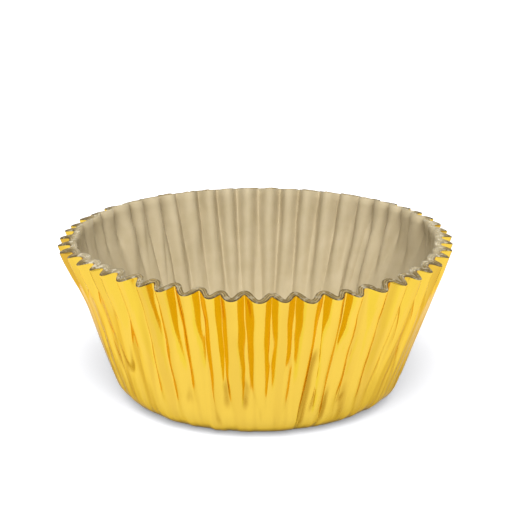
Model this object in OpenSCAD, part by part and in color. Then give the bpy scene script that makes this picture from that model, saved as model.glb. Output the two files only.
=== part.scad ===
// Pleated cupcake liner, pressed from one flat round blank of gold foil backed with paper.
// The blank is neither cut nor stretched. The base stays flat, the sheet turns up round it
// through a rounded corner, and the paper to spare gathers into pleats that deepen to the mouth.
// Every line from the base to the mouth is as long as the next, so the ridges, which lean out
// further, end a little lower than the grooves. Sizes are in millimetres and the base is at z = 0.

/* [Base] */
// Width of the base, where the line of the outer wall meets the table
base_d = 50; // [40:1:60]
// Radius of the turn from the base into the wall, at the middle of the sheet
corner_r = 6; // [3:0.5:8]

/* [Wall] */
// Length of the wall up its slope, from the table to the mouth
wall_len = 30.4; // [22:0.2:36]
// Lean of the wall from upright, in degrees
wall_lean = 18.8; // [12:0.2:26]
// Thickness of the foil and paper at the cut edge
sheet_t = 0.9; // [0.5:0.05:1.1]

/* [Pleats] */
// Number of pleats round the wall
pleats = 52; // [36:1:62]
// Roundness of the folds, where 1 is a plain wave and less has flatter crests
fold_form = 0.5; // [0.4:0.05:1]

/* [Hidden] */

// The ring of pleats closes only on a whole number of them
whole_pleats = round(pleats);

// Columns of points in each pleat, and rows of faces in the corner and up the wall
pleat_steps = 8;
corner_steps = 3;
wall_steps = 3;
columns = whole_pleats * pleat_steps;
rows = corner_steps + wall_steps;

// The sheet is worked out at its middle, half a thickness inside its two faces
half_t = sheet_t / 2;
turn = 90 - wall_lean;
setback = corner_r * tan(turn / 2);
flat_r = base_d / 2 - half_t * tan(turn / 2) - setback;
corner_len = corner_r * turn * PI / 180;
slope_len = wall_len - half_t * tan(turn / 2) - setback;

// Halvings of the search for a pleat's depth, and the depth that it starts from
search_steps = 18;
search_top = 4;

// Distance along the sheet from the flat base to a row
function along(row) = row < corner_steps
    ? corner_len * row / corner_steps
    : corner_len + slope_len * (row - corner_steps) / wall_steps;

// Straight distance from a row to the next, which is a chord in the corner
function step_len(row) = row < corner_steps
    ? 2 * corner_r * sin(turn / corner_steps / 2)
    : slope_len / wall_steps;

// Radius of the sheet at a row, before it is pleated
function mean_r(row) = row < corner_steps
    ? flat_r + corner_r * sin(turn * row / corner_steps)
    : flat_r + corner_r * sin(turn) + (along(row) - corner_len) * sin(wall_lean);

// Form of one pleat at a share u of its width, from 1 on a ridge to -1 in a groove
function wave(u) = cos(360 * u) / sqrt(fold_form + (1 - fold_form) * pow(cos(360 * u), 2));

// Place of a column in its pleat and round the cup
function share(column) = (column + 0.5) / pleat_steps;
function turned(column) = 360 * (column + 0.5) / columns;

// Point of the sheet's cross-section at a column, on mean radius r with pleats of half depth a
function section_point(column, r, a) = let (reach = r + a * wave(share(column)))
    [reach * cos(turned(column)), reach * sin(turned(column))];

// Length of one pleat, measured along its folds
function pleat_len(r, a, column = 0) = column == pleat_steps
    ? 0
    : norm(section_point(column + 1, r, a) - section_point(column, r, a)) + pleat_len(r, a, column + 1);

// Half depth at which a pleat takes up the wanted length of blank, found by halving a range
function half_depth(r, wanted, low = 0, high = search_top, left = search_steps) =
    let (middle = (low + high) / 2)
    left == 0
        ? middle
        : pleat_len(r, middle) < wanted
            ? half_depth(r, wanted, middle, high, left - 1)
            : half_depth(r, wanted, low, middle, left - 1);

// Each row is as long round its folds as the circle of the blank that it was pressed from
mean_radii = [for (row = [0:rows]) mean_r(row)];
depths = [for (row = [0:rows]) row == 0
    ? 0
    : half_depth(mean_radii[row], 2 * PI * (flat_r + along(row)) / whole_pleats)];

// Radius of the folded sheet at a row and column
function fold_r(row, column) = mean_radii[row] + depths[row] * wave(share(column));

// Height that a column gains from a row to the next, as what its outward step leaves of its length
function rise(row, column) =
    sqrt(pow(step_len(row), 2) - pow(fold_r(row + 1, column) - fold_r(row, column), 2));

// Heights of one column of the pleat at every row
function heights(column) =
    [for (row = 0, z = half_t; row <= rows; z = z + (row < rows ? rise(row, column) : 0), row = row + 1) z];
pleat_heights = [for (column = [0:pleat_steps - 1]) heights(column)];

// Middle of the sheet at every row and column
middle = [for (row = [0:rows]) [for (column = [0:columns - 1])
    [fold_r(row, column) * cos(turned(column)),
     fold_r(row, column) * sin(turned(column)),
     pleat_heights[column % pleat_steps][row]]]];

// Direction that the gold face looks at a point, across its neighbours up and round the wall
function facing(row, column) = row == 0 ? [0, 0, -1] : let (
    up = middle[min(row + 1, rows)][column] - middle[row - 1][column],
    round_cup = middle[row][(column + 1) % columns] - middle[row][(column + columns - 1) % columns],
    across = cross(round_cup, up))
    across / norm(across);

// One face of the sheet, on the gold side at 1 and the paper side at -1
function face_points(side) = [for (row = [0:rows]) for (column = [0:columns - 1])
    middle[row][column] + side * half_t * facing(row, column)];

// The folded sheet as one closed solid: gold face, paper face, cut edge, and the two flat discs
module folded_sheet() {
    skin = (rows + 1) * columns;
    base_centre = 2 * skin;
    floor_centre = base_centre + 1;
    gold = [for (row = [0:rows - 1]) for (column = [0:columns - 1])
        let (next = (column + 1) % columns, here = row * columns, above = here + columns)
        each [[here + column, above + column, above + next], [here + column, above + next, here + next]]];
    paper = [for (face = gold) [face[2] + skin, face[1] + skin, face[0] + skin]];
    cut_edge = [for (column = [0:columns - 1])
        let (next = (column + 1) % columns, top = rows * columns)
        each [[top + column, top + skin + column, top + skin + next],
              [top + column, top + skin + next, top + next]]];
    base = [for (column = [0:columns - 1]) [base_centre, column, (column + 1) % columns]];
    floor_disc = [for (column = [0:columns - 1])
        [floor_centre, skin + (column + 1) % columns, skin + column]];
    polyhedron(
        points = concat(face_points(1), face_points(-1), [[0, 0, 0], [0, 0, sheet_t]]),
        faces = concat(gold, paper, cut_edge, base, floor_disc),
        convexity = 10);
}

module liner() {
    color("gold") folded_sheet();
}

liner();
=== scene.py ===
# %% [markdown]
# # A pleated cupcake liner of gold foil
#
# The real liner starts as one flat, round blank of thin gold foil glued to baking paper. A press
# pushes the blank into a pleated mould: the middle stays flat, the rest turns up into a wall, and
# the paper to spare gathers into pleats. The imported part already has the right size and place,
# so it is loaded first.

# %% Load the imported part
import math

import bpy
import numpy as np
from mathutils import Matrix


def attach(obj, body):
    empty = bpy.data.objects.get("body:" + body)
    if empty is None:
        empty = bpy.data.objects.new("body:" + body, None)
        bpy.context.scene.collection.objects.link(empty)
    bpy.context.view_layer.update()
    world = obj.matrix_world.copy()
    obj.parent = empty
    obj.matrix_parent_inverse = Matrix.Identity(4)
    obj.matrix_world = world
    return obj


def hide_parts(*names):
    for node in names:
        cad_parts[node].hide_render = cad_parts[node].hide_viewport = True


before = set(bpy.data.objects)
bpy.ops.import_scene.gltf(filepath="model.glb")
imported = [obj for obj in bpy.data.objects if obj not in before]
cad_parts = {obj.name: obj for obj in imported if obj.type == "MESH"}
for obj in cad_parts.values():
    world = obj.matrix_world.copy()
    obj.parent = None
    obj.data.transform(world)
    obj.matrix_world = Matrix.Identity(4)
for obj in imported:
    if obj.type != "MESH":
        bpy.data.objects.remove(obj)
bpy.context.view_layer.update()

# %% [markdown]
# ## Sizes
#
# All lengths below are in millimetres, as a maker would measure them on the bench, and one factor
# turns them into Blender's metres. They are the sizes of the real liner: the width of its base,
# the slope of its wall and the count of its pleats. The rest is worked out from these.

# %% Sizes of the liner
MM = 0.001
BASE_WIDTH = 50.0               # where the line of the outer wall meets the table
CORNER_RADIUS = 6.0             # of the turn from the base into the wall
WALL_LENGTH = 30.4              # up the slope, from the table to the mouth
WALL_LEAN = math.radians(18.8)  # from upright
SHEET = 0.9                     # thickness, as the layers of the cut edge show it
PLEATS = 52
FOLD_FORM = 0.80                # roundness of the folds, where 1 is a plain wave

TURN = math.pi / 2 - WALL_LEAN
HALF_SHEET = SHEET / 2
OUTER_SETBACK = HALF_SHEET * math.tan(TURN / 2)
SETBACK = CORNER_RADIUS * math.tan(TURN / 2)
FLAT_RADIUS = BASE_WIDTH / 2 - OUTER_SETBACK - SETBACK
CORNER_LENGTH = CORNER_RADIUS * TURN
SLOPE_LENGTH = WALL_LENGTH - OUTER_SETBACK - SETBACK
SHEET_LENGTH = CORNER_LENGTH + SLOPE_LENGTH
print(f"flat base radius {FLAT_RADIUS:.2f} mm, sheet from base to mouth {SHEET_LENGTH:.2f} mm")

# %% [markdown]
# ## The pleats
#
# A pleat could be drawn as a plain sine wave and made deeper by eye. Here its depth follows from
# the blank instead: on the flat blank, a circle at some distance from the base is longer than the
# same circle of the finished wall, and the pleats must use up exactly that spare length. So the
# depth is found by trying a value, measuring the fold, and halving the range until it fits. This
# is why pleats are shallow at the corner and deep at the mouth.

# %% Radius of the wall and depth of the pleats


def mean_radius(along):
    """Radius of the sheet before pleating, at a distance along it from the flat base.

    It grows as the distance inside the base, as a sine round the corner, then as a straight line.
    """
    corner = CORNER_RADIUS * np.sin(np.clip(along, 0, CORNER_LENGTH) / CORNER_RADIUS)
    slope = np.clip(along - CORNER_LENGTH, 0, None) * math.sin(WALL_LEAN)
    return FLAT_RADIUS + np.clip(along, None, 0) + corner + slope


def wave(turns, form=FOLD_FORM):
    """One pleat per turn, from 1 on a ridge to -1 in a groove.

    The cosine is divided by the root of a mix of 1 and its own square, which flattens its crests.
    At form 1 it is the plain cosine.
    """
    cosine = np.cos(2 * np.pi * turns)
    return cosine / np.sqrt(form + (1 - form) * cosine ** 2)


def pleat_depth(along, steps=20, samples=64, deepest=4.0):
    """Half depth of a pleat at each distance along the sheet, found by halving a range.

    The wanted length is the blank's circle shared by the pleats: two pi times the flat radius
    plus the distance. The fold's length is the sum of short chords along one pleat.
    """
    radius = mean_radius(along)[:, None]
    wanted = 2 * np.pi * (FLAT_RADIUS + along) / PLEATS
    turns = np.linspace(0, 1, samples + 1)[None, :]
    angle = 2 * np.pi * turns / PLEATS
    low, high = np.zeros(len(along)), np.full(len(along), deepest)
    for _ in range(steps):
        middle = (low + high) / 2
        reach = radius + middle[:, None] * wave(turns)
        chords = np.hypot(np.diff(reach * np.cos(angle)), np.diff(reach * np.sin(angle)))
        short = chords.sum(axis=1) < wanted
        low, high = np.where(short, middle, low), np.where(short, high, middle)
    return np.where(along > 0, (low + high) / 2, 0.0)


mouth_depth = 2 * pleat_depth(np.array([SHEET_LENGTH]))[0]
print(f"pleats are {mouth_depth:.2f} mm deep at the mouth")

# %% [markdown]
# ## What makes it look pressed by a machine and handled by people
#
# Real foil pleats are never quite alike. They wander sideways, some die out half way down, the
# soft metal keeps small pinches and creases, and the mouth springs a little out of round. A noise
# texture would slide over the folds. Here the unevenness is part of the shape: sums of waves that
# close on themselves round the cup, and creases at seeded random places, so that the result is
# the same each time.

# %% Seeded noise and soft steps
SEED = 29


def ring_noise(angle, slow, fast, seed, climb=0.0, turn_rate=1.0):
    """Random waves round the cup with about unit size: a sum of cosines with whole frequencies.

    Each cosine has a random phase, which turns at its own random rate as climb grows.
    """
    random = np.random.default_rng(SEED + seed)
    counts = np.arange(slow, fast + 1)
    phases = random.uniform(0, 2 * np.pi, len(counts))
    rates = random.normal(0, turn_rate, len(counts))
    total = np.zeros(np.broadcast(angle, climb).shape)
    for count, phase, rate in zip(counts, phases, rates):
        total += np.cos(count * angle + phase + rate * climb)
    return total * math.sqrt(2 / len(counts))


def smooth_step(value):
    """0 below 0 and 1 above 1, joined by three value squared minus two value cubed."""
    clipped = np.clip(value, 0, 1)
    return clipped * clipped * (3 - 2 * clipped)


def bell(value):
    """A bell curve, 1 in the middle: e to the power of minus the value squared."""
    return np.exp(-value ** 2)


def turn_from(place, angle):
    """Angle from a place round the cup, between minus and plus half a turn."""
    return np.mod(angle - place + np.pi, 2 * np.pi) - np.pi


def side_share(angle):
    """1 at the two sides of the cup, 0 in front and behind: a smooth step of the squared cosine."""
    return smooth_step(1.25 * np.cos(angle) ** 2 - 0.1)


circle = np.linspace(0, 2 * np.pi, 2001)
sample = ring_noise(circle, 6, 24, seed=1)
print(f"noise round the cup goes from {sample.min():.2f} to {sample.max():.2f}")

# %% [markdown]
# The first unevenness is the largest. A mouth of thin foil doesn't stay a true circle, and the
# wall gives where fingers held it. The wall could be pushed about by hand, point by point, but a
# few waves and bell curves say the same in numbers that can be read and changed.

# %% Mouth and wall out of true
MOUTH_LOBES = ((2, 0.25, 0.27), (3, 0.51, 0.15))  # count, size of its sine, size of its cosine
RIGHT_LEAN = 0.2
LEFT_BUMP, BUMP_ANGLE, BUMP_WIDTH = 0.50, math.radians(193), 0.17
LEFT_BOW, BOW_POWER = 0.85, 1.9
FOOT_BULGE, BULGE_ANGLE, BULGE_WIDTH, BULGE_POWER = 0.42, math.radians(234), 0.60, 0.45


def mouth_swing(angle):
    """Millimetres that the mouth stands out of round.

    A wave of two lobes and one of three, a bell curve where a few ridges on the left stand out,
    and a cosine to the fourth power on the right, which leans out a little.
    """
    front = angle + np.pi / 2
    lobes = sum(s * np.sin(n * front) + c * np.cos(n * front) for n, s, c in MOUTH_LOBES)
    bump = LEFT_BUMP * bell(turn_from(BUMP_ANGLE, angle) / BUMP_WIDTH)
    return lobes + bump + RIGHT_LEAN * np.clip(np.cos(angle), 0, None) ** 4


def wall_bow(share, angle):
    """Millimetres that the wall is bowed in on the left and bulged out at the foot beside it.

    Each is the squared sine of pi times a power of the share of the way up the sheet. The power
    1.9 puts the bow seven tenths of the way up, and 0.45 puts the bulge a fifth of the way up.
    """
    share = np.clip(share, 0, 1)
    left = np.clip(-np.cos(angle), 0, None) ** 2
    beside = bell(turn_from(BULGE_ANGLE, angle) / BULGE_WIDTH)
    bulge = FOOT_BULGE * np.sin(np.pi * share ** BULGE_POWER) ** 2 * beside
    return bulge - LEFT_BOW * np.sin(np.pi * share ** BOW_POWER) ** 2 * left


swing = mouth_swing(circle)
print(f"the mouth stands from {swing.min():.2f} to {swing.max():.2f} mm off a true circle")

# %% [markdown]
# A pleat's place in the ring is counted in turns, and noise moves that count sideways. The
# ridges at the two sides of the cup have been squeezed to narrow fins, and those in front are as
# wide as the grooves, so a second number says how far a ridge is pinched.

# %% Run of the pleats
WANDER, WEAVE, WIGGLE = 0.34, 0.55, 0.16  # sizes of the slow, middling and quick noise
PINCH = 0.80
PINCH_START, PINCH_LENGTH = 22.0, 9.0     # distance along the sheet, and over what it grows


def pleat_turns(angle, along):
    """Place in the run of pleats, in turns: the angle times the pleat count, and noise.

    The middling and the quick noise fade out at the mouth, which the mould holds best.
    """
    share = along / SHEET_LENGTH
    wander = WANDER * ring_noise(angle, 6, 24, seed=1, climb=share, turn_rate=0.5)
    weave = WEAVE * ring_noise(angle, 10, 34, seed=2, climb=share, turn_rate=2.0)
    wiggle = WIGGLE * ring_noise(angle, 30, 70, seed=8, climb=share, turn_rate=11.0)
    noise = wander + weave * (1 - share) + wiggle * smooth_step(5 * (1 - share))
    return (PLEATS * angle + noise) / (2 * np.pi)


def pinched(turns, angle, along):
    """Turns moved so that ridges are narrow: each turn gains pinch times its own sine.

    The squeeze is at its full at the mouth and has faded out a third of the way down.
    """
    pinch = PINCH * np.cos(angle) ** 2 * smooth_step((along - PINCH_START) / PINCH_LENGTH)
    return turns + pinch * np.sin(2 * np.pi * turns) / (2 * np.pi)


pitch = np.gradient(circle, pleat_turns(circle, SHEET_LENGTH)) * mean_radius(SHEET_LENGTH)
print(f"pleats are {pitch.min():.1f} to {pitch.max():.1f} mm wide at the mouth")

# %% [markdown]
# Pressed pleats are sharp at the mouth and die out on the way down, each at a height of its own.
# One mask for the whole wall would cut them all off in one line. So two functions say how much
# of each pleat is left: where it ends, and how deep it is before that.

# %% Where the pleats die out
END_HEIGHT, END_SPREAD, END_RISE = 11.0, 5.0, 18.0  # in front, its noise, more at the sides
FADE_LENGTH, FADE_LESS = 10.0, 3.0                  # in front, less at the sides
UNEVENNESS = 0.05
TAKEN_UP, TAKEN_UP_MORE = 0.88, 0.04                # share of the full depth, more at the mouth
LEFT_OVER, LEFT_OVER_LESS = 0.20, 0.12              # share left in a dead pleat, less at the sides


def pleat_reach(angle, along):
    """0 where a pleat has died out and 1 where it is whole: a smooth step about the height between.

    That height is noise that changes from one pleat to the next. At the two sides the pleats die
    out sooner below the mouth.
    """
    side = side_share(angle)
    spread = END_SPREAD * ring_noise(angle, 8, 60, seed=4) * (1 - 0.7 * side)
    end = END_HEIGHT + spread + END_RISE * side
    return smooth_step((along - end) / (FADE_LENGTH - FADE_LESS * side) + 0.5)


def pleat_strength(angle, along):
    """Share of its full depth that a pleat keeps: uneven, deepest at the mouth, small when dead.

    The last step takes all pleats down to nothing in the corner.
    """
    noise = ring_noise(angle, 10, 45, seed=3, climb=along / SHEET_LENGTH, turn_rate=0.4)
    uneven = 1 + UNEVENNESS * np.clip(noise, None, 0.6)
    taken_up = TAKEN_UP + TAKEN_UP_MORE * smooth_step((along - 20.0) / 13.0)
    left_over = LEFT_OVER - LEFT_OVER_LESS * side_share(angle)
    kept = left_over + (1 - left_over) * pleat_reach(angle, along)
    return uneven * taken_up * kept * smooth_step((along - 2.0) / 7.0)


half_way = pleat_strength(circle, SHEET_LENGTH / 2)
print(f"half way up, pleats keep {half_way.min():.2f} to {half_way.max():.2f} of their depth")

# %% [markdown]
# ## Creases
#
# Below the place where a pleat dies out, the foil still has a little length to spare, and it
# goes into narrow creases. The largest run on from the grooves as sharp valleys, often forked.

# %% Tails of the grooves
TAIL_RANGES = (
    (0.20, 0.44),    # depth
    (0.60, 1.25),    # width
    (1.0, 8.0),      # lower end, along the sheet
    (10.0, 20.0),    # upper end
    (-0.20, 0.16),   # fork: how fast two lines part, and below zero not at all
    (-0.12, 0.12))   # lean


def groove_tails(angle, along):
    """Valleys that carry each groove on down the wall, in millimetres below the smooth sheet.

    Each is a bell curve of the distance from the groove's line, and below a random height a
    forked one parts into two lines that move away from each other. At the two sides they are
    twice as wide and a tenth as deep.
    """
    turns = pleat_turns(angle, along)
    pleat = np.floor(turns).astype(int) % PLEATS
    random = np.random.default_rng(SEED + 11)
    depth, width, low, high, fork, lean = (
        random.uniform(least, most, PLEATS)[pleat] for least, most in TAIL_RANGES)
    width_of_pleat = 2 * np.pi * mean_radius(along) / PLEATS
    off = (turns - np.floor(turns) - 0.5) * width_of_pleat + lean * (high - along)
    apart = np.clip(fork, 0, None) * np.clip(high - 4 - along, 0, None)
    width = width * (1 + side_share(angle))
    valley = np.maximum(bell((off - apart) / width), bell((off + apart) / width))
    taper = smooth_step((along - low) / 4.0) * (1 - smooth_step((along - high) / 5.0))
    return depth * taper * valley * (1 - 0.9 * smooth_step(2 * side_share(angle)))


tails = groove_tails(circle, SHEET_LENGTH / 2)
print(f"half way up, tails of the grooves are up to {tails.max():.2f} mm deep")

# %% [markdown]
# Finer creases branch off between. The branching comes from a trick with noise: along the lines
# where a smooth noise is zero, its absolute value has a sharp valley, and those lines wander,
# split and meet. The finest are pinches, short dents left by fingertips and by other things.

# %% Branches, pinches and soft waves
BRANCH_DEPTH, BRANCH_WIDTH = 0.26, 0.42
LEAST_SLOPE = 0.45  # keeps flat places of the noise from counting as wide lines


def branching_creases(angle, along, step=0.005):
    """Fine valleys along the zero lines of a smooth noise, faded in and out by a second noise.

    The noise divided by its own slope round the cup is the distance in millimetres from the line,
    so the valley, a bell curve of that distance, is as wide everywhere.
    """
    share = along / SHEET_LENGTH
    after, before = (ring_noise(angle + side * step, 10, 30, seed=12, climb=share, turn_rate=5.0)
                     for side in (1, -1))
    slope = (after - before) / (2 * step * mean_radius(along))
    off = (after + before) / 2 / np.hypot(slope, LEAST_SLOPE)
    patches = smooth_step(0.30 + 0.8 * ring_noise(angle, 5, 22, seed=13, climb=share,
                                                  turn_rate=7.0))
    band = smooth_step((along - 4.0) / 5.0) * (1 - 0.75 * smooth_step((along - 14.0) / 8.0))
    return BRANCH_DEPTH * band * patches * bell(off / BRANCH_WIDTH)


def pinches(angle, along, count=70):
    """Short, sharp dents at random places: an exponential across and a bell curve along each."""
    random = np.random.default_rng(SEED + 7)
    total = np.zeros(np.broadcast(angle, along).shape)
    for _ in range(count):
        place = random.uniform(0, 2 * np.pi)
        height = random.uniform(0.25, 0.85) * SHEET_LENGTH
        lean = random.normal(0, 0.35)
        length, width = random.uniform(0.5, 2.0), random.uniform(0.28, 0.48)
        size = random.uniform(0.08, 0.22)
        across = turn_from(place, angle) * mean_radius(along)
        up = along - height
        side = across * math.cos(lean) + up * math.sin(lean)
        end = up * math.cos(lean) - across * math.sin(lean)
        total += size * np.exp(-np.sqrt(side ** 2 + 0.01) / width - (end / length) ** 2)
    return total


def sharp_creases(angle, along):
    """The sharp part of the relief, in millimetres: tails of the grooves, branches and pinches.

    They keep a fifth of their depth where the pleat is whole, as the foil has no more to spare.
    """
    spare = 1 - 0.8 * pleat_reach(angle, along)
    return spare * (groove_tails(angle, along) + branching_creases(angle, along)
                    + pinches(angle, along))


def soft_waves(angle, along):
    """The soft part of the relief, in millimetres: slow waves and weak fine ones."""
    share = along / SHEET_LENGTH
    slow = ring_noise(angle, 9, 40, seed=5, climb=share, turn_rate=5.0)
    fine = ring_noise(angle, 60, 110, seed=6, climb=share, turn_rate=9.0)
    return smooth_step(along / 5.0) * (0.07 * slow + 0.025 * fine)


print(f"creases half way up are up to {sharp_creases(circle, SHEET_LENGTH / 2).max():.2f} mm deep")

# %% [markdown]
# ## The sheet as one function
#
# The middle of the sheet is a function of two parameters: the angle round the cup and the
# distance along the sheet from the flat base. Every line from base to mouth is as long as the
# next, because the blank is round. So a line that leans out further, along a ridge, ends lower
# than one in a groove, and that gives the mouth its scallops. The running sum of the heights
# needs close rows, so it is done once on fine rows, and coarser ones are read off from them.

# %% Middle of the sheet
COLUMNS = PLEATS * 20
FINE_ROWS = 241
CROWDING_POWER, MOST_CROWDING = 1.3, 1.6
RIDGE_LINE = 0.93   # share of the full depth at which the ridges at the two sides are held
LEAST_RISE = 0.15   # share of a step that a line always gains in height

angle = 2 * np.pi * np.arange(COLUMNS) / COLUMNS


def folded_profile(angle):
    """Radius and height of the sheet's middle at fine rows, in millimetres.

    Radius is the mean radius plus depth times wave, and a pleat that is crowded by its neighbours
    is shallower by that crowding to the power 1.3. At the two sides the wall moves out by what its
    pleats have lost in depth, so that the ridges stay in one line. Height is the running sum of
    what the outward step leaves of each length of sheet: the root of length squared minus step
    squared. Round the corner it is the length times the sine of the turn so far.
    """
    columns, fine = angle[None, :], np.linspace(0, SHEET_LENGTH, FINE_ROWS)[:, None]
    turns = pleat_turns(columns, fine)
    crowding = np.clip(np.gradient(turns, axis=1) * len(angle) / PLEATS, 1.0, MOST_CROWDING)
    whole_depth = pleat_depth(fine[:, 0])[:, None]
    depth = whole_depth * pleat_strength(columns, fine) / crowding ** CROWDING_POWER
    swell = side_share(columns) * np.clip(RIDGE_LINE * whole_depth - depth, 0, None)
    form = FOLD_FORM + (1 - FOLD_FORM) * side_share(columns)
    radius = mean_radius(fine) + depth * wave(pinched(turns, columns, fine), form) + swell
    step, outward = np.diff(fine, axis=0), np.diff(radius, axis=0)
    rise = np.sqrt(np.clip(step ** 2 - outward ** 2, (LEAST_RISE * step) ** 2, None))
    rise = np.where(fine[1:] < CORNER_LENGTH, step * np.sin(fine[1:] / CORNER_RADIUS), rise)
    return radius, np.concatenate([np.zeros((1, len(angle))), np.cumsum(rise, axis=0)])


def rows_at(grid, along):
    """Rows of a fine grid at distances along the sheet, each mixed from the two next to it."""
    place = np.clip(along, 0, SHEET_LENGTH) / SHEET_LENGTH * (len(grid) - 1)
    below = np.minimum(place.astype(int), len(grid) - 2)
    share = (place - below)[:, None]
    return grid[below] * (1 - share) + grid[below + 1] * share


def sheet_middle(along, angle, fine_radius, fine_height):
    """Points of the sheet's middle, in millimetres, for rows of distance and columns of angle.

    The wall moves out by the mouth's swing, which grows up the wall, and by the wall's bow. It
    moves down by that times the tangent of its lean, but not through the table.
    """
    climb, columns = along[:, None] / SHEET_LENGTH, angle[None, :]
    lift = smooth_step(climb) * mouth_swing(columns) + wall_bow(climb, columns)
    radius = rows_at(fine_radius, along) + lift
    height = rows_at(fine_height, along) - lift * math.tan(WALL_LEAN)
    height = np.clip(height, 0, None) + HALF_SHEET
    return np.stack([radius * np.cos(columns), radius * np.sin(columns), height], axis=-1)


fine_radius, fine_height = folded_profile(angle)
print(f"the middle of the sheet ends {fine_height[-1].min():.1f} to {fine_height[-1].max():.1f} mm"
      f" above the base")

# %% [markdown]
# ## Two faces and their thickness
#
# The gold side and the paper side lie half a thickness from the middle, along its normal. At the
# cut edge the layers spring apart a little, most of all in front. At the two sides, where the
# ridges are squeezed to fins, the paper stands off the grooves as a crust.
#
# A fold that is tighter than the sheet is thick leaves its inner face no room, and the face would
# run back over itself in a small loop. Those loops could be cut out of the mesh afterwards. It is
# simpler to pull their points together, row by row, until each one goes forward again.

# %% Faces of the sheet
FRONT_SPRING, SIDE_SQUEEZE, EVEN_SQUEEZE = 0.20, 0.40, 0.02  # shares of half the thickness
STAND_OFF = 0.75    # of the paper side from the grooves, at the two sides of the mouth
PAPER_RELIEF = 0.4  # share of the foil's creases that the paper shows


def facing(points):
    """Unit normals of a grid of points, towards the gold side: the cross product of its steps."""
    up = np.gradient(points, axis=0)
    around = np.roll(points, -1, axis=1) - np.roll(points, 1, axis=1)
    normal = np.cross(around, up)
    return normal / np.linalg.norm(normal, axis=-1, keepdims=True)


def half_thickness(along, side):
    """Distance of a face from the sheet's middle, on the gold side at 1 and the paper side at -1.

    It is half the thickness. Over the last 5 mm it gains a fifth round the front, by e to the
    power of minus the angle's fourth power, and loses two fifths at the two sides, by the squared
    cosine, and a fiftieth all round. Over the last 3 mm at the sides, the paper side stands off
    the grooves by up to STAND_OFF, and off the ridges not at all.
    """
    columns, rows = angle[None, :], along[:, None]
    front = np.exp(-turn_from(-np.pi / 2, columns) ** 4)
    spring = FRONT_SPRING * front - SIDE_SQUEEZE * np.cos(columns) ** 2 - EVEN_SQUEEZE
    half = HALF_SHEET * (1 + smooth_step((rows - SHEET_LENGTH + 5.0) / 5.0) * spring)
    if side > 0:
        return half
    grooves = 0.5 - 0.5 * wave(pinched(pleat_turns(columns, rows), columns, rows))
    near_rim = smooth_step((rows - SHEET_LENGTH + 3.0) / 3.0)
    return half + STAND_OFF * side_share(columns) * grooves * near_rim


def unlooped(face, middle, rounds=300, least=0.125):
    """The face without the small loops that it makes in folds tighter than the sheet is thick.

    Each step round a row has to go forward by at least an eighth of the middle's own step. Both
    ends of a step that doesn't move halfway to the mean of their neighbours, round after round.
    """
    own = np.roll(middle, -1, axis=1) - middle
    for _ in range(rounds):
        step = np.roll(face, -1, axis=1) - face
        back = (step * own).sum(axis=-1) < least * (own ** 2).sum(axis=-1)
        tight = (back | np.roll(back, 1, axis=1))[..., None]
        mean = (np.roll(face, 1, axis=1) + np.roll(face, -1, axis=1)) / 2
        face = np.where(tight, (face + mean) / 2, face)
    return face


def skin(along, side, relief):
    """One face of the sheet: its middle moved along the normal, less the depth of the creases.

    The first row isn't creased, so that it meets the flat base.
    """
    middle = sheet_middle(along, angle, fine_radius, fine_height)
    normal = facing(middle)
    normal[0] = (0, 0, -1)
    columns, rows = angle[None, :], along[:, None]
    creases = sharp_creases(columns, rows) + soft_waves(columns, rows)
    moved = side * half_thickness(along, side) - relief * creases
    moved[0] = side * HALF_SHEET
    return unlooped(middle + moved[..., None] * normal, middle)


def spread(corner_rows, wall_rows):
    """Distances along the sheet: even steps round the corner, then even steps up the wall."""
    return np.concatenate([np.linspace(0, CORNER_LENGTH, corner_rows + 1)[:-1],
                           np.linspace(CORNER_LENGTH, SHEET_LENGTH, wall_rows + 1)])


gold_along, paper_along = spread(11, 44), spread(6, 17)
gold, paper = skin(gold_along, 1, 1.0), skin(paper_along, -1, PAPER_RELIEF)
print("gold side", gold.shape, "paper side", paper.shape)

# %% [markdown]
# ## The cut edge
#
# The cut edge is a strip from the top row of the gold side to the top row of the paper side. A
# punch leaves each layer of foil and paper at a slightly different height, with a thin dark gap
# between one and the next, so the strip rises over each layer and dips between them.

# %% Cut edge
LAYERS = 3
EDGE_STEPS = 3 * LAYERS
EDGE_RISE, EDGE_UNEVENNESS = 0.14, 0.06
edge_shares = np.linspace(0, 1, EDGE_STEPS + 1)[1:-1]


def cut_edge(outer, inner, up):
    """Rows across the cut edge: a straight line from face to face, raised over each layer.

    The rise is the size of a sine that is zero between the layers, times the layer's own height,
    which changes slowly round the cup.
    """
    rows = []
    for share in edge_shares:
        layer = min(int(share * LAYERS), LAYERS - 1)
        height = EDGE_RISE + EDGE_UNEVENNESS * ring_noise(angle, 20, 90, seed=20 + layer)
        rise = abs(math.sin(math.pi * share * LAYERS)) * height
        rows.append(outer * (1 - share) + inner * share + up * rise[:, None])
    return np.stack(rows)


up_wall = gold[-1] - gold[-2]
up_wall /= np.linalg.norm(up_wall, axis=-1, keepdims=True)
edge = cut_edge(gold[-1], paper[-1], up_wall)
edge_width = np.linalg.norm(gold[-1] - paper[-1], axis=-1)
print(f"the cut edge is {edge_width.min():.2f} to {edge_width.max():.2f} mm wide")

# %% [markdown]
# ## One closed skin
#
# The liner has a gold side, a paper side, a cut edge and a flat base, but they are one sheet. So
# the mesh is one profile carried round the cup: from the middle of the base out to its rim, up
# the gold side, across the cut edge, down the paper side and back to the middle of the floor.

# %% Rows of the profile
BASE_SHARES = (0.15, 0.55, 0.85)  # rings of the flat base, as shares of its radius


def disc_rows(shares, height):
    """Rings of the flat base at shares of its radius."""
    ring = np.stack([np.cos(angle), np.sin(angle), np.zeros(COLUMNS)], axis=-1)
    rings = np.asarray(shares)[:, None, None] * FLAT_RADIUS * ring[None]
    rings[..., 2] = height
    return rings


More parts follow.
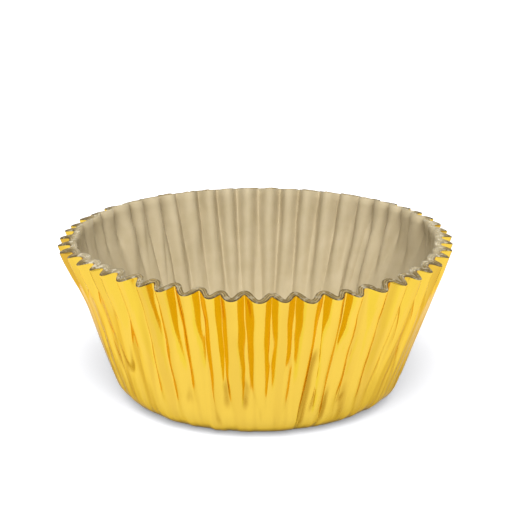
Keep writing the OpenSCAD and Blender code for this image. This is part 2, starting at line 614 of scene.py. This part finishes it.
floor_shares = BASE_SHARES[:0:-1]
profile = np.concatenate([disc_rows(BASE_SHARES, 0.0), gold, edge, paper[::-1],
                          disc_rows(floor_shares, SHEET)])
print(f"{len(profile)} rows, {np.ptp(profile[..., 0]):.1f} mm wide at the mouth")

# %% [markdown]
# Some things about the foil are known best here, where its shape is made: which places are steep
# flanks, for a painted tint of the light that bounces between them, where streaky bands of painted
# shade run, and how deep each place lies in a crease, for the creases' painted shade. A material
# could guess at them with noise, but then they wouldn't lie where the folds are. So each becomes
# a grid of numbers from 0 to 1, which the mesh carries for the material to read.

# %% Numbers for the foil's material


def crease_shade(angle, along):
    """0 to 1: how deep in its own shade a crease is, a smooth step of depth from 0.1 to 0.36 mm."""
    return smooth_step((sharp_creases(angle, along) - 0.10) / 0.26)


def painted_streak_shade(angle, along):
    """0 to 1: streaky bands of painted shade that run up the wall, strongest at the two sides."""
    share = along / SHEET_LENGTH
    wide = ring_noise(angle, 24, 70, seed=16, climb=share, turn_rate=2.5)
    fine = ring_noise(angle, 90, 160, seed=17, climb=share, turn_rate=3.0)
    return smooth_step(0.35 + 0.45 * (wide + 0.5 * fine)) * (0.2 + 0.8 * side_share(angle))


def flank_share(points):
    """0 to 1: how steep a fold's flank is, as a smooth step of the normal's part round the cup.

    At the two sides almost nothing is left of it, as the flanks there see the open sky.
    """
    around = np.stack([-np.sin(angle), np.cos(angle), np.zeros(COLUMNS)], axis=-1)
    steep = smooth_step((np.abs((facing(points) * around).sum(axis=-1)) - 0.62) / 0.10)
    return steep * (1 - 0.9 * side_share(angle))


gold_grids = {"crease_shade": crease_shade(angle[None, :], gold_along[:, None]),
              "streak_shade": painted_streak_shade(angle[None, :], gold_along[:, None]),
              "flank": flank_share(gold)}
gold_rows = slice(len(BASE_SHARES), len(BASE_SHARES) + len(gold_along))
attributes = {label: np.zeros(profile.shape[:2]) for label in gold_grids}
for label, grid in gold_grids.items():
    attributes[label][gold_rows] = grid
print("means", {label: round(float(grid.mean()), 3) for label, grid in gold_grids.items()})

# %% [markdown]
# ## From rows to a mesh
#
# A grid of rows and columns turns into faces by index arithmetic: each face joins a point, its
# neighbour round the cup and the two points above them. The last column joins the first, so
# there is no seam, and a fan of triangles round one point closes each end.

# %% Mesh from a profile
GOLD_SLOT, EDGE_SLOT, PAPER_SLOT = 0, 1, 2
FAN_LENGTH = 3.0  # of the fans at the two ends, on the UV map


def grid_uv(columns, v):
    """UV of every corner of the mesh: U round the cup at the base's width, V along the profile.

    Both are in millimetres. The corners come face by face: first fan, quads, last fan.
    """
    u = np.arange(columns + 1) / columns * np.pi * BASE_WIDTH
    row, column = np.meshgrid(np.arange(len(v) - 1), np.arange(columns), indexing="ij")
    quads = np.stack([np.stack([u[column + right], v[row + up]], axis=-1)
                      for right, up in ((0, 0), (1, 0), (1, 1), (0, 1))], axis=2)
    here, after = u[:-1], u[1:]
    first = np.stack([np.stack([across, np.full(columns, up)], axis=-1) for across, up in (
        (here, v[0] - FAN_LENGTH), (after, v[0]), (here, v[0]))], axis=1)
    last = np.stack([np.stack([across, np.full(columns, up)], axis=-1) for across, up in (
        (here, v[-1] + FAN_LENGTH), (here, v[-1]), (after, v[-1]))], axis=1)
    return np.concatenate([part.reshape(-1, 2) for part in (first, quads, last)])


def grid_faces(count, columns):
    """Faces of a grid of points whose columns join up: a fan, the quads by row, and a fan.

    Point number is row times columns plus column. The fans' points come after the grid's.
    """
    row, column = np.meshgrid(np.arange(count - 1), np.arange(columns), indexing="ij")
    after = (column + 1) % columns
    quads = np.stack([row * columns + column, row * columns + after,
                      (row + 1) * columns + after, (row + 1) * columns + column], axis=-1)
    here, top = np.arange(columns), (count - 1) * columns
    first = np.stack([np.full(columns, count * columns), (here + 1) % columns, here], axis=-1)
    last = np.stack([np.full(columns, count * columns + 1), top + here,
                     top + (here + 1) % columns], axis=-1)
    return first.tolist() + quads.reshape(-1, 4).tolist() + last.tolist()


def build_sheet(name, rows, v, attributes, gold_faces, edge_faces):
    """Mesh of a closed profile of rows, with a point at each end, three slots and a UV map.

    Each named grid of numbers becomes a point attribute, for the materials to read.
    """
    count, columns = rows.shape[:2]
    ends = np.array([[0, 0, rows[0, 0, 2]], [0, 0, rows[-1, 0, 2]]])
    points = np.concatenate([rows.reshape(-1, 3), ends]) * MM
    mesh = bpy.data.meshes.new(name)
    mesh.from_pydata(points.tolist(), [], grid_faces(count, columns))
    slots = np.full(len(mesh.polygons), PAPER_SLOT)
    gold_end = columns * (1 + gold_faces)
    slots[:gold_end] = GOLD_SLOT
    slots[gold_end:gold_end + columns * edge_faces] = EDGE_SLOT
    mesh.polygons.foreach_set("material_index", slots)
    mesh.polygons.foreach_set("use_smooth", np.ones(len(mesh.polygons), dtype=bool))
    mesh.uv_layers.new(name="Sheet").data.foreach_set("uv", grid_uv(columns, v).ravel())
    for label, grid in attributes.items():
        values = np.concatenate([grid.ravel(), np.zeros(2)]).astype(np.float32)
        mesh.attributes.new(label, "FLOAT", "POINT").data.foreach_set("value", values)
    mesh.validate()
    mesh.update()
    piece = bpy.data.objects.new(name, mesh)
    bpy.context.scene.collection.objects.link(piece)
    return piece


# %% [markdown]
# V on the UV map is the distance along the profile in millimetres, with 0 where the base ends, so
# the cut edge lies between the sheet's length and that plus its thickness.

# %% Build the liner
base_v = -FLAT_RADIUS * (1 - np.array(BASE_SHARES))
edge_v = SHEET_LENGTH + edge_shares * SHEET
paper_v = SHEET_LENGTH + SHEET + (SHEET_LENGTH - paper_along[::-1])
floor_v = paper_v[-1] + FLAT_RADIUS * (1 - np.array(floor_shares))
profile_v = np.concatenate([base_v, gold_along, edge_v, paper_v, floor_v])
gold_faces = len(BASE_SHARES) + len(gold_along) - 1
liner = build_sheet("pleated_liner", profile, profile_v, attributes, gold_faces, EDGE_STEPS)
triangles = sum(len(p.vertices) - 2 for p in liner.data.polygons)
print("triangles", triangles, "vertices", len(liner.data.vertices))

# %% [markdown]
# ## Colours and nodes
#
# Colours are read off as sRGB hex values, and one function turns them into the linear values that
# Blender's shaders use. One more function adds a shader node with its settings, and fills or
# links its inputs. An input may be given a whole node, and is then linked to the first output
# that the node has in use, so a chain of nodes reads as a chain of names.

# %% Helpers for materials


def colour(hex_code):
    """Linear colour of an sRGB hex value: the standard curve, a power of 2.4 above a short line."""
    values = np.array([int(hex_code[i:i + 2], 16) / 255 for i in (1, 3, 5)])
    linear = np.where(values <= 0.04045, values / 12.92, ((values + 0.055) / 1.055) ** 2.4)
    return (*linear.tolist(), 1.0)


def add_node(tree, kind, inputs=(), **settings):
    """Adds a node, sets its properties, and fills or links its inputs by name or number.

    An input is linked where it is given a socket, or a node, which gives its first used output.
    """
    node = tree.nodes.new(kind)
    for name, value in settings.items():
        setattr(node, name, value)
    for name, value in dict(inputs).items():
        if isinstance(value, bpy.types.Node):
            value = next(output for output in value.outputs if output.enabled)
        if isinstance(value, bpy.types.NodeSocket):
            tree.links.new(value, node.inputs[name])
        else:
            node.inputs[name].default_value = value
    return node


def new_material(name):
    """An empty node material and its tree."""
    material = bpy.data.materials.new(name)
    material.use_nodes = True
    material.node_tree.nodes.clear()
    return material, material.node_tree


def solid_material(name, look):
    """A material from a function that adds nodes to a tree and gives the shader's inputs.

    The function gets the tree and each place on the piece in object coordinates.
    """
    material, tree = new_material(name)
    place = add_node(tree, "ShaderNodeTexCoord").outputs["Object"]
    shader = add_node(tree, "ShaderNodeBsdfPrincipled", look(tree, place))
    add_node(tree, "ShaderNodeOutputMaterial", {"Surface": shader})
    print(name, "has", len(tree.nodes), "nodes and", len(tree.links), "links")
    return material


print("mid grey in linear light", round(colour("#808080")[0], 3))

# %% [markdown]
# ## Gold-lacquered aluminium foil
#
# The gold side is aluminium foil under a clear yellow lacquer, rolled until it is nearly a
# mirror. It could be painted as a yellow plastic, but the look of foil comes from what it
# reflects: where two sides of a pleat face each other, the light bounces twice and the colour
# doubles up into amber. A metal with a low roughness does that by itself. Pressing leaves a fine
# crinkle about a millimetre and a half across, which is a weak bump.
#
# Three tones lie over the gold where the mesh says so. Steep flanks are painted a purer yellow,
# which keeps the light that bounces twice between them a clean amber. Streaky bands of painted
# shade, a little browner and strongest at the two sides, stand in for the darker things that the
# foil mirrors there. Creases are painted browner still, as their shade, and are duller.

# %% Foil material
GOLD, PALER_GOLD = "#F1CB51", "#ECC64C"
# The flank tone is a painted tint of doubled reflections, and the other two tones are painted
# shade.
FOIL_TONES = (("flank", 1.0, "#EBC93C"), ("streak_shade", 0.75, "#C99A36"),
              ("crease_shade", 0.85, "#B88A24"))  # the mesh's number, how much of it, the tone
SMEAR_SIZE, CRINKLE_SIZE, CRINKLE_HEIGHT = 9.0, 1.6, 0.08  # millimetres
SMOOTHEST, LEAST_SMOOTH = 0.12, 0.20                       # roughness of the lacquer
CREASE_DULLNESS = 0.15                                     # roughness that a deep crease adds


def foil(tree, place):
    """Rolled and lacquered foil: metal, nearly mirror smooth, with a weak crinkle.

    Each tone is mixed over the one before, by a number that the mesh carries.
    """
    smears, crinkle = (
        add_node(tree, "ShaderNodeTexNoise", {
            "Vector": place, "Scale": 1 / (size * MM), "Detail": detail})
        for size, detail in ((SMEAR_SIZE, 3.0), (CRINKLE_SIZE, 2.0)))
    carried = {label: add_node(tree, "ShaderNodeAttribute", attribute_name=label).outputs["Fac"]
               for label in attributes}
    tone = add_node(tree, "ShaderNodeMix", {
        "Factor": smears, "A": colour(GOLD), "B": colour(PALER_GOLD)}, data_type="RGBA")
    for label, most, hex_code in FOIL_TONES:
        share = add_node(tree, "ShaderNodeMath", {0: carried[label], 1: most},
                         operation="MULTIPLY")
        tone = add_node(tree, "ShaderNodeMix", {
            "Factor": share, "A": tone, "B": colour(hex_code)}, data_type="RGBA")
    smooth = add_node(tree, "ShaderNodeMapRange", {
        "Value": smears, "From Min": 0.3, "From Max": 0.7,
        "To Min": SMOOTHEST, "To Max": LEAST_SMOOTH})
    roughness = add_node(tree, "ShaderNodeMath", {
        0: carried["crease_shade"], 1: CREASE_DULLNESS, 2: smooth}, operation="MULTIPLY_ADD")
    bump = add_node(tree, "ShaderNodeBump", {
        "Height": crinkle, "Strength": 0.15, "Distance": CRINKLE_HEIGHT * MM})
    return {"Base Color": tone, "Metallic": 1.0, "Roughness": roughness,
            "Specular Tint": colour("#FFE8B0"), "Normal": bump}


foil_material = solid_material("gold_lacquered_foil_pressed", foil)

# %% [markdown]
# ## Baking paper
#
# The inside is greaseproof baking paper, a warm grey with a dull sheen. It could be one colour,
# but pressed paper pulp is cloudy, so a noise mixes two greys and a finer one lifts the fibres.

# %% Paper material
PULP, PALE_PULP = "#A99A78", "#BCAE90"
CLOUD_SIZE, FIBRE_SIZE, FIBRE_HEIGHT = 3.0, 0.5, 0.05  # millimetres


def baking_paper(tree, place):
    """Calendered greaseproof paper: warm grey, dull, with cloudy fibres."""
    clouds, fibres = (
        add_node(tree, "ShaderNodeTexNoise", {
            "Vector": place, "Scale": 1 / (size * MM), "Detail": detail})
        for size, detail in ((CLOUD_SIZE, 4.0), (FIBRE_SIZE, 3.0)))
    tone = add_node(tree, "ShaderNodeMix", {
        "Factor": clouds, "A": colour(PULP), "B": colour(PALE_PULP)}, data_type="RGBA")
    bump = add_node(tree, "ShaderNodeBump", {
        "Height": fibres, "Strength": 0.3, "Distance": FIBRE_HEIGHT * MM})
    return {"Base Color": tone, "Roughness": 0.55, "Normal": bump}


paper_material = solid_material("greaseproof_baking_paper", baking_paper)

# %% [markdown]
# ## The cut edge of foil and paper
#
# The cut edge shows the sheet in section. The UV map counts millimetres across it, so a ramp
# can set each layer where it is: a dark line along the gold side, then pale paper with dark gaps
# between. A noise moves the lines a little, because no punch cuts layers evenly.

# %% Layers of the edge
LAYER_STOPS = ((0.0, "#403116"), (0.14, "#4C3C1C"), (0.22, "#897548"), (0.33, "#B29C6C"),
               (0.42, "#5B4B2A"), (0.50, "#6A5932"), (0.62, "#A69061"), (0.72, "#8A7649"),
               (0.80, "#524323"), (0.92, "#7B693E"), (1.0, "#867347"))
LAYER_DRIFT = 0.22  # share of the thickness over which the lines wander
DRIFT_SIZE = 2.2    # millimetres along the edge, from one wandering to the next


def layer_tone(tree, place):
    """Colour of the layers, from a ramp over the share of the way across the edge.

    That share is V on the UV map, measured from the gold side and moved by a slow noise.
    """
    uv = add_node(tree, "ShaderNodeUVMap", uv_map="Sheet")
    v = add_node(tree, "ShaderNodeSeparateXYZ", {"Vector": uv}).outputs["Y"]
    share = add_node(tree, "ShaderNodeMapRange", {
        "Value": v, "From Min": SHEET_LENGTH, "From Max": SHEET_LENGTH + SHEET,
        "To Min": -LAYER_DRIFT / 2, "To Max": 1 - LAYER_DRIFT / 2})
    drift = add_node(tree, "ShaderNodeTexNoise", {
        "Vector": place, "Scale": 1 / (DRIFT_SIZE * MM), "Detail": 2.0})
    across = add_node(tree, "ShaderNodeMath", {0: drift, 1: LAYER_DRIFT, 2: share},
                      operation="MULTIPLY_ADD")
    ramp = add_node(tree, "ShaderNodeValToRGB", {"Fac": across})
    stops = ramp.color_ramp.elements
    for position, hex_code in LAYER_STOPS:
        stop = (stops[0] if position == 0.0 else stops[-1] if position == 1.0
                else stops.new(position))
        stop.position, stop.color = position, colour(hex_code)
    return ramp


print(len(LAYER_STOPS), "stops, with lines that wander by up to", LAYER_DRIFT / 2 * SHEET, "mm")

# %% [markdown]
# Ragged fibres lie on the edge as a fine dark grain. Light spots of painted glint lie over it, most
# of all at the two sides. There the folds are squeezed flat, so the inner part is a pale crust of
# paper, and the outer part, which looks down into the gaps between the fins, is painted dark as
# their shade.

# %% Edge material
GRAIN_SIZE, PAINTED_GLINT_SIZE = 0.45, 0.8      # millimetres
# The light spot colour on the edge is a painted glint.
DARK_GRAIN, PAINTED_GLINT, PALE_CRUST, GAP_SHADE = "#6E6244", "#DED6C0", "#CDC2A5", "#5E4F32"


def punched_edge(tree, place):
    """Punched layers: grain, painted glints, and at the sides a pale crust and painted gap shade.

    Each tone is mixed over the one before, by one range of a number or by two, multiplied.
    """
    grain, glint_noise = (
        add_node(tree, "ShaderNodeTexNoise", {
            "Vector": place, "Scale": 1 / (size * MM), "Detail": detail})
        for size, detail in ((GRAIN_SIZE, 3.0), (PAINTED_GLINT_SIZE, 2.0)))
    x = add_node(tree, "ShaderNodeSeparateXYZ", {"Vector": place}).outputs["X"]
    aside = add_node(tree, "ShaderNodeMath", {0: x}, operation="ABSOLUTE")
    flat = add_node(tree, "ShaderNodeVectorMath", {0: place, 1: (1, 1, 0)}, operation="MULTIPLY")
    radius = add_node(tree, "ShaderNodeVectorMath", {0: flat}, operation="LENGTH")
    grainy, painted_glints, more_glints_aside, at_side, inside, shaded_outside = (
        add_node(tree, "ShaderNodeMapRange", {
            "Value": value, "From Min": low, "From Max": high, "To Min": start, "To Max": end})
        for value, low, high, start, end in (
            (grain, 0.42, 0.66, 0.0, 0.55),
            (glint_noise, 0.53, 0.65, 0.0, 0.6),
            (aside, 14 * MM, 27 * MM, 0.4, 1.0),
            (aside, 18 * MM, 27 * MM, 0.0, 1.0),
            (radius, 33.0 * MM, 34.2 * MM, 0.45, 0.0),
            (radius, 33.6 * MM, 35.0 * MM, 0.0, 0.6)))
    tone = layer_tone(tree, place)
    # At the two sides the dark outer part of the edge is painted shade of the gaps between the
    # fins.
    for share, level, hex_code in ((grainy, 1.0, DARK_GRAIN), (painted_glints, more_glints_aside, PAINTED_GLINT),
                                   (at_side, inside, PALE_CRUST), (at_side, shaded_outside, GAP_SHADE)):
        factor = add_node(tree, "ShaderNodeMath", {0: share, 1: level}, operation="MULTIPLY")
        tone = add_node(tree, "ShaderNodeMix", {
            "Factor": factor, "A": tone, "B": colour(hex_code)}, data_type="RGBA")
    return {"Base Color": tone, "Roughness": 0.7}


edge_material = solid_material("punched_layers_edge", punched_edge)

# %% [markdown]
# The three materials go on the mesh in the order of its slots. Then the imported liner is hidden,
# and the piece takes its place, attached to the root body so that it moves with it.

# %% Dress the liner
for material in (foil_material, edge_material, paper_material):
    liner.data.materials.append(material)
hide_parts("liner")
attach(liner, "root")
print("slots", [material.name for material in liner.data.materials])

# %% [markdown]
# ## Floor and light
#
# A product table for foil is a white sheet under white light from all round, because a mirror
# shows whatever is near it. Real foil also throws gold patches on the table, which a maker of
# catalogue pictures takes out. One number does that here: it is 0 for light that has met the
# table before it meets the foil, and the table, the sky and the lamp are all multiplied by it.

# %% Light that the foil throws
THROWN_FROM = 0.5  # of a product of whole numbers, so between none and one


def not_thrown(tree, path):
    """0 where a ray met something matt first and foil after it, and 1 elsewhere.

    It is whether diffuse depth times Is Glossy Ray is under a half.
    """
    thrown = add_node(tree, "ShaderNodeMath", {
        0: path.outputs["Diffuse Depth"], 1: path.outputs["Is Glossy Ray"]}, operation="MULTIPLY")
    return add_node(tree, "ShaderNodeMath", {0: thrown, 1: THROWN_FROM}, operation="LESS_THAN")


print("light counts as thrown from", THROWN_FROM)

# %% [markdown]
# The foil sees the table as it is lit, shadow and all, which is what makes the foot of its wall
# deeper in tone. For the camera a little plain white is added to the table, so that it stays
# white to its far end and still keeps the liner's shadow.

# %% Floor
FLOOR_SIZE = 4.0
FLOOR_LIFT = 0.30

floor_mesh = bpy.data.meshes.new("floor")
half = FLOOR_SIZE / 2
floor_mesh.from_pydata([(-half, -half, 0), (half, -half, 0), (half, half, 0), (-half, half, 0)],
                       [], [(0, 1, 2, 3)])
floor = bpy.data.objects.new("floor", floor_mesh)
bpy.context.scene.collection.objects.link(floor)

floor_material, floor_tree = new_material("white_table_paper")
floor_path = add_node(floor_tree, "ShaderNodeLightPath")
table_white = add_node(floor_tree, "ShaderNodeMix", {
    "Factor": not_thrown(floor_tree, floor_path), "A": colour("#000000"),
    "B": colour("#F8F8FA")}, data_type="RGBA")
lit_paper = add_node(floor_tree, "ShaderNodeBsdfDiffuse", {"Color": table_white})
camera_lift = add_node(floor_tree, "ShaderNodeMath", {
    0: floor_path.outputs["Is Camera Ray"], 1: FLOOR_LIFT}, operation="MULTIPLY")
plain_white = add_node(floor_tree, "ShaderNodeEmission", {"Strength": camera_lift})
floor_sum = add_node(floor_tree, "ShaderNodeAddShader", {0: lit_paper, 1: plain_white})
add_node(floor_tree, "ShaderNodeOutputMaterial", {"Surface": floor_sum})
floor.data.materials.append(floor_material)
print("floor", FLOOR_SIZE, "m wide, lifted for the camera by", FLOOR_LIFT)

# %% [markdown]
# The sky is white for the camera. What the foil reflects of it is white overhead and greyer
# towards the horizon, as the walls of a studio are behind its lamps: without something darker to
# mirror, no metal looks like metal. For the rest it is a dimmer, even fill light.

# %% Sky
SKY_FILL = 0.22
HORIZON_GREY = 0.5
WHITE_FROM = 0.5    # sine of the height above the horizon

world = bpy.data.worlds.new("white_tent")
bpy.context.scene.world = world
world.use_nodes = True
sky_tree = world.node_tree
sky_tree.nodes.clear()
sky_path = add_node(sky_tree, "ShaderNodeLightPath")
direction = add_node(sky_tree, "ShaderNodeSeparateXYZ", {
    "Vector": add_node(sky_tree, "ShaderNodeTexCoord").outputs["Generated"]})
mirrored = add_node(sky_tree, "ShaderNodeMapRange", {
    "Value": direction.outputs["Z"], "From Min": 0.0, "From Max": WHITE_FROM,
    "To Min": HORIZON_GREY, "To Max": 1.0})
fill = add_node(sky_tree, "ShaderNodeMix", {
    "Factor": sky_path.outputs["Is Glossy Ray"], "A": SKY_FILL, "B": mirrored})
strength = add_node(sky_tree, "ShaderNodeMix", {
    "Factor": sky_path.outputs["Is Camera Ray"], "A": fill, "B": 1.0})
sky_light = add_node(sky_tree, "ShaderNodeMath", {
    0: strength, 1: not_thrown(sky_tree, sky_path)}, operation="MULTIPLY")
sky = add_node(sky_tree, "ShaderNodeBackground", {
    "Color": colour("#FFFFFF"), "Strength": sky_light})
add_node(sky_tree, "ShaderNodeOutputWorld", {"Surface": sky})
print("sky has", len(sky_tree.nodes), "nodes and", len(sky_tree.links), "links")

# %% [markdown]
# The main light is a wide, soft one from in front and above. A lamp near by would leave the far
# table darker, so it is a sun with a very wide disc, which lights the whole table evenly and
# gives shadows that fade out within a few millimetres. The foil doesn't mirror it, as a disc
# with a clear outline would show as a hard white patch on every fold.

# %% Main light
LIGHT_LEVEL = 1.25  # of the lit table, where 1 is white
SUN_HEIGHT = math.radians(50)
SUN_WIDTH = math.radians(60)

sun_data = bpy.data.lights.new("wide_softbox", "SUN")
sun_data.angle = SUN_WIDTH
sun_data.energy = (LIGHT_LEVEL - SKY_FILL) * math.pi / math.sin(SUN_HEIGHT)
sun_data.use_nodes = True
sun_tree = sun_data.node_tree
sun_tree.nodes.clear()
glow = add_node(sun_tree, "ShaderNodeEmission", {
    "Strength": not_thrown(sun_tree, add_node(sun_tree, "ShaderNodeLightPath"))})
add_node(sun_tree, "ShaderNodeOutputLight", {"Surface": glow})
sun = bpy.data.objects.new("wide_softbox", sun_data)
bpy.context.scene.collection.objects.link(sun)
sun.rotation_euler = (math.pi / 2 - SUN_HEIGHT, 0, 0)
sun.visible_glossy = False
print("sun strength", round(sun_data.energy, 2))

# %% [markdown]
# ## Camera
#
# The camera stands about 28 cm in front of the liner and 11 cm above the table, looking down at
# 17 degrees. These come from matching the ellipses of the mouth and the base to their shapes in
# the picture, with the known width of the base as the scale.

# %% Camera
CAMERA_DISTANCE = 280.0
CAMERA_HEIGHT = 110.75
CAMERA_SIDE = -0.59
CAMERA_PITCH = math.radians(16.944)
FOCAL_PIXELS = 1607.2
IMAGE_PIXELS = 510

camera_data = bpy.data.cameras.new("camera")
camera_data.sensor_width = 36.0
camera_data.lens = FOCAL_PIXELS / IMAGE_PIXELS * camera_data.sensor_width
camera_data.clip_start = 0.01
camera = bpy.data.objects.new("camera", camera_data)
bpy.context.scene.collection.objects.link(camera)
camera.location = (CAMERA_SIDE * MM, -CAMERA_DISTANCE * MM, CAMERA_HEIGHT * MM)
camera.rotation_euler = (math.pi / 2 - CAMERA_PITCH, 0, 0)
bpy.context.scene.camera = camera
bpy.context.scene.view_settings.view_transform = "Standard"
print("lens", round(camera_data.lens, 1), "mm")
